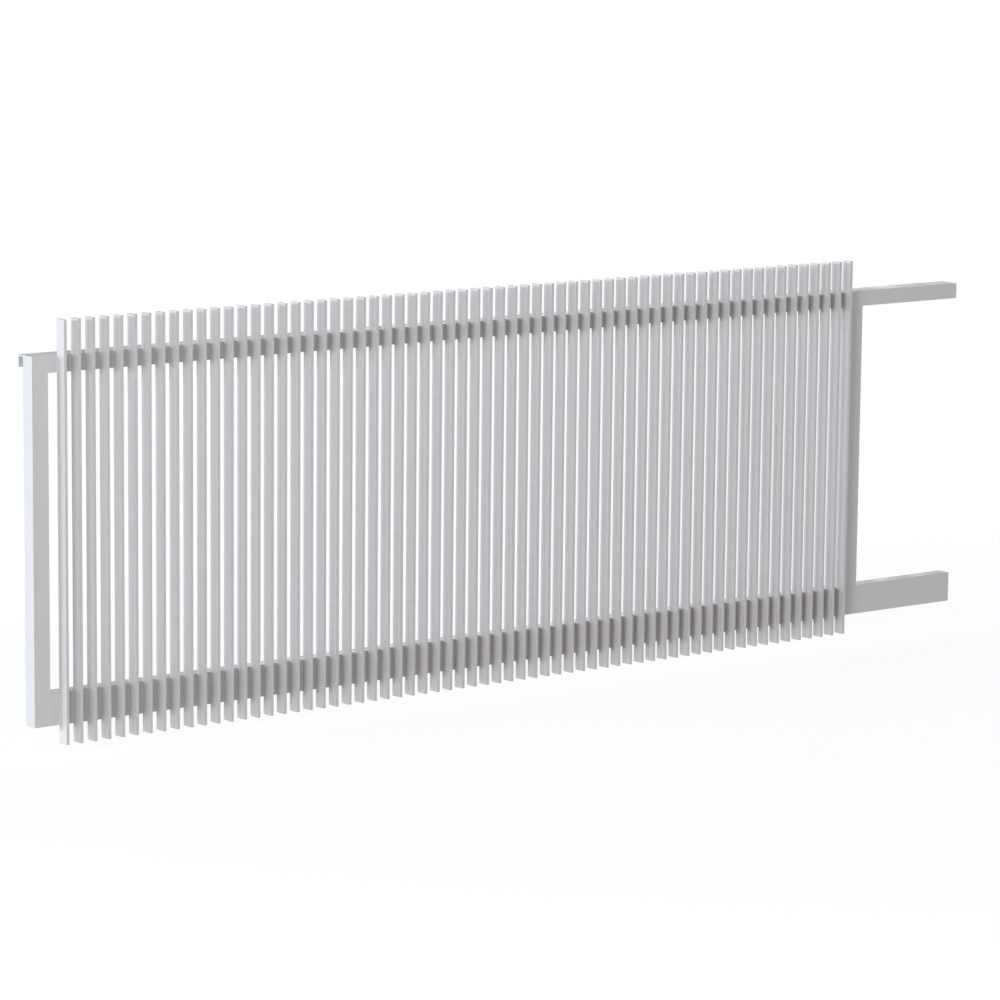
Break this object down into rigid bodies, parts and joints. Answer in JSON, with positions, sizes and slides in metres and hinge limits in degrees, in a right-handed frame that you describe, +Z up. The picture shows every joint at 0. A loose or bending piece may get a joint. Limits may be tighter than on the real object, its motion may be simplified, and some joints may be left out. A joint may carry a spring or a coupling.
{
  "type": "sliding driveway gate leaf",
  "caption": "Sliding driveway gate leaf: box-section frame with a short tail, a guide angle behind the top rail and a front screen of thin, deep upright slats.",
  "frame": {"origin": "middle of the bottom rail's underside, where the wheel carriages or track fasten", "axes": "+X along the leaf towards the tail, +Y out of its back towards the guide angle (the slats are on the -Y side), +Z up"},
  "size_m": [5.095, 0.153, 1.72],
  "materials": {
    "frame_coat": "light grey powder coat on aluminium box section, fine satin texture",
    "cap_coat": "light grey powder coat on aluminium plate, welded flush",
    "guide_coat": "light grey powder coat on an aluminium angle, faintly rubbed inside the lip",
    "slat_coat": "light grey powder coat on hollow aluminium slats, fine satin texture",
    "slat_cap": "light grey powder coat on aluminium end plates"
  },
  "bodies": {
    "root": {"bottom_rail": "frame_coat", "bottom_rail_left_cap": "cap_coat", "bottom_rail_tail_cap": "cap_coat", "top_rail": "frame_coat", "top_rail_left_cap": "cap_coat", "top_rail_tail_cap": "cap_coat", "left_stile": "frame_coat", "right_stile": "frame_coat", "guide_angle": "guide_coat", "slats": "slat_coat", "slat_top_caps": "slat_cap", "slat_bottom_caps": "slat_cap"}
  },
  "joints": []
}
